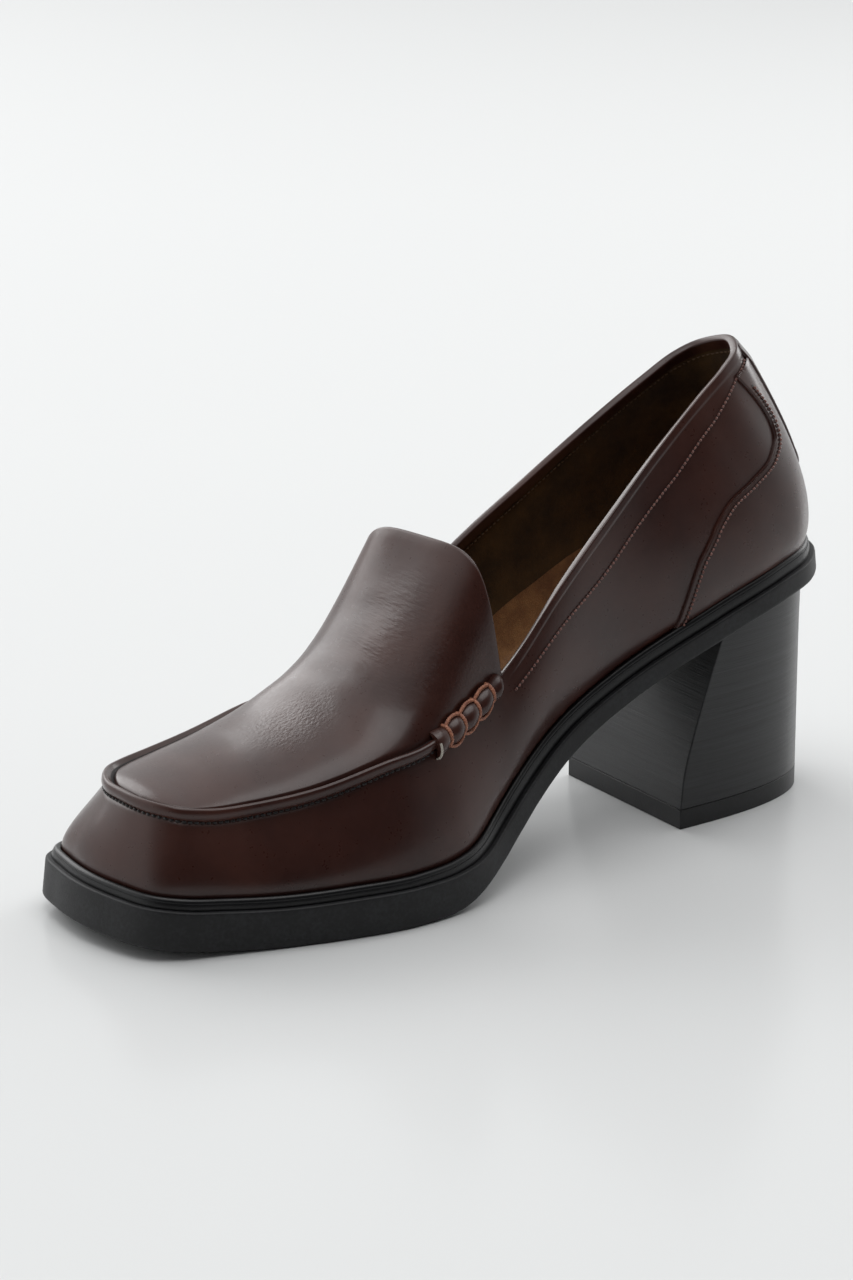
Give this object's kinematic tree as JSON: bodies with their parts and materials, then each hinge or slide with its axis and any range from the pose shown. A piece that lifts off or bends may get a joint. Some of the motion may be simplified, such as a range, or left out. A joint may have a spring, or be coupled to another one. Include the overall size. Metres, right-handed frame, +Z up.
{
  "type": "loafer pump",
  "caption": "Square-toe leather loafer pump with a block heel, a raised apron seam ending in thread-wrapped side rolls, and a high free tongue, for the left foot.",
  "frame": {"origin": "on the floor, under the middle of the shoe's overall length and width", "axes": "+X from the heel to the toe, +Y to the wearer's left (the outer side of this left shoe), +Z up"},
  "size_m": [0.2452, 0.0856, 0.1365],
  "materials": {
    "leather": "burgundy-brown, polished",
    "rubber": "black, matte",
    "heel_stack": "black stacked look, satin",
    "footbed": "tan, napped"
  },
  "bodies": {
    "root": {"outsole": "rubber", "welt": "rubber", "insole": "footbed", "upper": "leather", "moc_seam": "leather", "roll_outer": "leather", "roll_inner": "leather", "counter": "leather", "back_strap": "leather", "heel": "heel_stack", "top_lift": "rubber"}
  },
  "joints": []
}
